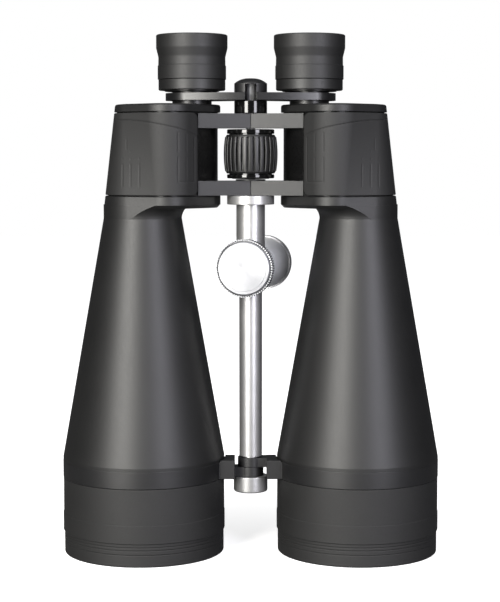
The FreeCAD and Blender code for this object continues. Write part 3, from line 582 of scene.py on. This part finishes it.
def buildPlate(side):
    # the cover plate: broken lower edge, rounded shoulder, and a bore with a guide for the eyepiece
    size = {"low": 0.35, "high": 1.5, "crown": 0.35, "land": 4.2, "bore": 12.02, "chamfer": 0.3, "guide": 13.2,
            "guideLength": 14.0, "gap": 0.5, "columns": 360}
    node = side + "_cover_plate"
    high = sizeOf(node)[1]
    low = sizeOf(side + "_housing_armour")[1] + size["gap"]
    sign = 1 if side == "right" else -1
    land = size["land"]
    levels = rounded([(0, low, size["low"]), (0, high - size["crown"], size["high"]), (land, high, 0),
                      (land + 0.1, high, 0), (land + 0.1, low, 0)], steps=6)[:-1]
    mesh = bmesh.new()
    rings = []
    for inset, z in levels:
        rings.append([mesh.verts.new((spot.x * mm, spot.y * mm, z * mm))
                      for spot, out in housingOutline(side, z, inset, size["columns"])])
    x, y = lobes["eyepiece"][:2]
    turns = [math.pi + 2 * math.pi * k / size["columns"] for k in range(size["columns"])]
    guideLow = low - size["guideLength"]
    for radius, z in ((size["bore"] + size["chamfer"], high), (size["bore"], high - size["chamfer"]),
                      (size["bore"], guideLow), (size["guide"], guideLow), (size["guide"], low)):
        rings.append([mesh.verts.new(((x + math.cos(t) * radius) * sign * mm, (y + math.sin(t) * radius) * mm,
                                      z * mm)) for t in turns])
    joinRings(mesh, rings)
    standIn(side + "_cover_crowned", mesh, node, smoothAngle=35)


for side in ("left", "right"):
    buildPlate(side)
print("cover plates crowned")


def buildWheel():
    # glossy collars and core of the focus wheel
    size = {"collar": 14.3, "collarHeight": 2.7, "core": 13.0, "bore": 3.05, "round": 0.8, "shoulder": 0.5,
            "boss": 11.2}
    low, high = sizeOf("focus_wheel")[:2]
    collarLow, collarHigh = low + size["collarHeight"], high - size["collarHeight"]
    corners = [(size["bore"], low, 0), (size["boss"] - 0.1, low, 0.3), (size["boss"] + 0.1, low + 0.25, 0.1),
               (size["collar"], low + 0.35, size["round"]), (size["collar"], collarLow, size["shoulder"]),
               (size["core"], collarLow, 0), (size["core"], collarHigh, 0),
               (size["collar"], collarHigh, size["shoulder"]), (size["collar"], high, size["round"]),
               (size["bore"], high, 0)]
    mesh = bmesh.new()
    turnOn(mesh, corners, axisAt("focus_wheel"), 144)
    standIn("focus_wheel_turned", mesh, "focus_wheel")


def buildGrip():
    # the rubber sleeve: a bowed floor between two rounded shoulders, with raised ribs
    size = {"ribs": 28, "ribWidth": 2.5, "ribDepth": 1.5, "ribRound": 0.55, "bow": 0.8, "floorDrop": 0.95,
            "core": 13.05, "inset": 1.5, "shoulder": 1.7, "tuck": 0.6, "steps": 14}
    node = "focus_wheel_grip"
    low, high, half = sizeOf(node)
    endRadius = half - size["bow"]
    lift = size["shoulder"]
    endFloor = endRadius - size["floorDrop"] + 0.2
    floor = half - size["tuck"] - size["floorDrop"]
    floorLow, floorHigh = low + lift + 0.3, high - lift - 0.3
    corners = [(size["core"], low, 0), (endRadius - 0.7, low, 0.7), (endRadius + 0.05, low + lift - 0.4, 0.35),
               (endFloor, floorLow, 0.2)]
    for k in range(1, size["steps"]):
        t = k / size["steps"]
        corners.append((endFloor + 4 * (floor - endFloor) * t * (1 - t), floorLow + (floorHigh - floorLow) * t, 0))
    corners += [(endFloor, floorHigh, 0.2), (endRadius + 0.05, high - lift + 0.4, 0.35),
                (endRadius - 0.7, high, 0.7), (size["core"], high, 0)]
    sunk = size["tuck"] + size["ribDepth"] / 2
    ribLow, ribHigh = low + size["inset"], high - size["inset"]
    centre = middleOf(node)
    mesh = bakeNodes("gripRibs", ribTree(), {
        "count": size["ribs"], "step": 2 * math.pi / size["ribs"], "ribWidth": size["ribWidth"] * mm,
        "ribDepth": size["ribDepth"] * mm, "ribRound": size["ribRound"] * mm,
        "start": ((endRadius - sunk) * mm, 0.0, ribLow * mm),
        "middle": ((half - sunk) * mm, 0.0, (ribLow + ribHigh) / 2 * mm),
        "end": ((endRadius - sunk) * mm, 0.0, ribHigh * mm),
        "at": (centre.x, centre.y, 0.0), "finish": finishOf[node]})
    turnOn(mesh, corners, axisAt(node), 144)
    standIn("wheel_grip_ribbed", mesh, node, smoothAngle=50)


def buildKnob():
    # the lock knob: knurled rim, chamfered edges, and a front with a fine step turned in it
    size = {"ridges": 72, "ridge": 0.5, "proud": 0.28, "chamfer": 0.8, "screw": 4.0, "land": 2.5, "step": 0.12}
    node = "lock_knob"
    place = Matrix.Translation(postCentre) @ postAxis.to_track_quat("Z", "Y").to_matrix().to_4x4()
    spots = [place.inverted() @ corner.co / mm for corner in frame["nodes"][node].data.vertices]
    rim = max(math.hypot(spot.x, spot.y) for spot in spots)
    tips = min(spot.z for spot in spots), max(spot.z for spot in spots)
    disc = [spot.z for spot in spots if math.hypot(spot.x, spot.y) > rim - 2]
    faces = min(disc), max(disc)
    sign = 1 if abs(faces[0] - tips[0]) < 0.01 else -1  # which way the screw points
    front, back = faces[::sign]
    tip = tips[::sign][1]
    body, chamfer, land = rim - size["proud"], size["chamfer"], size["land"]
    step = front + size["step"] * sign
    corners = [(0, front, 0), (body - land - 0.1, front, 0.05), (body - land, step, 0.05),
               (body - chamfer, step, 0.12), (body, front + chamfer * sign, 0.15),
               (body, back - chamfer * sign, 0.15), (body - chamfer, back, 0.15),
               (size["screw"], back, 0), (size["screw"], tip, 0), (0, tip, 0)]
    mesh = bakeNodes("knobKnurl", knurlTree(), {
        "count": size["ridges"], "step": 2 * math.pi / size["ridges"], "ridge": size["ridge"] * mm,
        "length": (faces[1] - faces[0] - 2 * chamfer) * mm,
        "spot": ((rim - size["ridge"]) * mm, 0.0, (faces[0] + faces[1]) / 2 * mm),
        "at": (0.0, 0.0, 0.0), "finish": finishOf[node]})
    bmesh.ops.transform(mesh, matrix=place, verts=mesh.verts)
    turnOn(mesh, corners, place, 144)
    standIn("lock_knob_knurled", mesh, node, smoothAngle=35)


buildWheel()
buildGrip()
buildKnob()
print("wheel and knob ready")


def buildStage():
    size = {"across": 8.0, "fadeFrom": 0.02, "fadeTo": 0.36, "drop": 0.0002}
    bpy.ops.mesh.primitive_plane_add(size=size["across"], location=(0, 0, -size["drop"]))
    floor = bpy.context.object
    floor.name = "studioFloor"
    material, tree, shader, place = startMaterial("paleFloor", {"Roughness": 0.9})
    amount = mottle(tree, place, 0.5, 0.0, 1.0)[1]
    tint(tree, shader, amount, "f1f1f0", "f6f6f6")
    out = addNode(tree, "ShaderNodeVectorMath", operation="LENGTH", links={0: place})
    fade = addNode(tree, "ShaderNodeMapRange", {"From Min": size["fadeFrom"], "From Max": size["fadeTo"],
                                                "To Min": 0.72, "To Max": 1.0},
                   {"Value": out.outputs["Value"]}, interpolation_type="SMOOTHSTEP")
    shader.inputs["Emission Color"].default_value = toLinear("ffffff")
    tree.links.new(fade.outputs["Result"], shader.inputs["Emission Strength"])
    bounce = addNode(tree, "ShaderNodeBsdfDiffuse", {"Color": toLinear("6a6a6a")})
    ray = addNode(tree, "ShaderNodeLightPath")
    mix = addNode(tree, "ShaderNodeMixShader", links={0: ray.outputs["Is Camera Ray"], 1: bounce.outputs[0],
                                                      2: shader.outputs[0]})
    target = next(n for n in tree.nodes if n.type == "OUTPUT_MATERIAL")
    tree.links.new(mix.outputs[0], target.inputs["Surface"])
    floor.data.materials.append(material)
    world = bpy.data.worlds.new("studioAir")
    bpy.context.scene.world = world
    world.use_nodes = True
    tree = world.node_tree
    tree.nodes.clear()
    seen = addNode(tree, "ShaderNodeBackground", {"Color": (1, 1, 1, 1), "Strength": 1.0})
    fill = addNode(tree, "ShaderNodeBackground", {"Color": toLinear("e8ebf0"), "Strength": 0.10})
    ray = addNode(tree, "ShaderNodeLightPath")
    mix = addNode(tree, "ShaderNodeMixShader", links={0: ray.outputs["Is Camera Ray"],
                                                      1: fill.outputs[0], 2: seen.outputs[0]})
    addNode(tree, "ShaderNodeOutputWorld", links={"Surface": mix.outputs[0]})


def softBox(name, azimuth, distance, height, wide, tall, radiance, colour):
    # a rectangular light turned to face the object; azimuth 0 is the camera's side
    turn = math.radians(azimuth)
    data = bpy.data.lights.new(name, "AREA")
    data.shape = "RECTANGLE"
    data.size = wide
    data.size_y = tall
    data.energy = radiance * math.pi * wide * tall
    data.color = toLinear(colour)[:3]
    light = bpy.data.objects.new(name, data)
    light.location = (math.sin(turn) * distance, -math.cos(turn) * distance, height)
    aim = Vector((0, 0, 0.16)) - light.location
    light.rotation_euler = aim.to_track_quat("-Z", "Y").to_euler()
    bpy.context.scene.collection.objects.link(light)


def buildLights():
    softBox("softBoxLeft", -31, 1.5, 0.30, 0.56, 1.9, 23, "fffdf8")
    softBox("softBoxRight", 33, 1.5, 0.30, 0.46, 1.9, 14, "f6f5ff")
    softBox("softBoxTop", 0, 0.3, 1.7, 1.2, 0.8, 2.5, "ffffff")


def buildCamera():
    view = {"distance": 1.006, "lens": 65.78, "film": 24.0, "pitch": 5.0, "height": 0.154, "side": -0.0004}
    data = bpy.data.cameras.new("studioCamera")
    data.sensor_fit = "VERTICAL"
    data.sensor_height = view["film"]
    data.lens = view["lens"]
    camera = bpy.data.objects.new("studioCamera", data)
    pitch = math.radians(view["pitch"])
    camera.location = (view["side"], hinge.y - view["distance"] * math.cos(pitch),
                       view["height"] + view["distance"] * math.sin(pitch))
    camera.rotation_euler = (math.pi / 2 - pitch, 0, 0)
    bpy.context.scene.collection.objects.link(camera)
    bpy.context.scene.camera = camera


buildStage()
buildLights()
buildCamera()
bpy.context.scene.view_settings.view_transform = "Standard"
print("stage, lights and camera ready")
